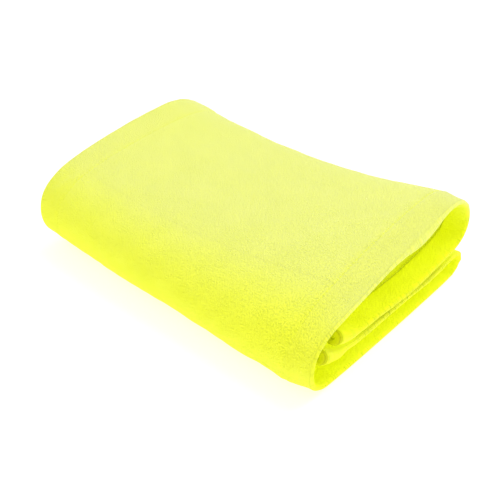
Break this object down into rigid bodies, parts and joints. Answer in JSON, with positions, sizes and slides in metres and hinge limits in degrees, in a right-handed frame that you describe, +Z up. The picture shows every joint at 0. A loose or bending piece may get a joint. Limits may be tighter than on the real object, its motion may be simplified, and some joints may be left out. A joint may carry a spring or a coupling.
{
  "type": "folded plush cloth",
  "caption": "Long hemmed strip of short-pile plush cloth, its ends folded to the middle and closed like a book; the upper half opens flat about the spine fold.",
  "frame": {"origin": "on the surface that the folded block rests on, under the middle of its box", "axes": "+X along the folds, the long way of the folded block; +Y from the big spine fold to the two back folds; +Z up, across the pile of plies"},
  "size_m": [0.32, 0.236, 0.092],
  "materials": {
    "plush": "short dense pile, neon yellow",
    "thread": "spun polyester sewing thread, matched yellow"
  },
  "bodies": {
    "lower_half": {"lower_cloth": "plush", "lower_left_hem": "plush", "lower_right_hem": "plush", "lower_end_hem": "plush", "lower_left_thread": "thread", "lower_right_thread": "thread", "lower_end_thread": "thread"},
    "upper_half": {"upper_cloth": "plush", "upper_left_hem": "plush", "upper_right_hem": "plush", "upper_end_hem": "plush", "upper_left_thread": "thread", "upper_right_thread": "thread", "upper_end_thread": "thread"}
  },
  "joints": [
    {"name": "spine_fold", "type": "hinge", "parent": "lower_half", "child": "upper_half", "pos_m": [0, -0.1182, 0.046], "axis": [1, 0, 0], "range_deg": [0, 180]}
  ]
}
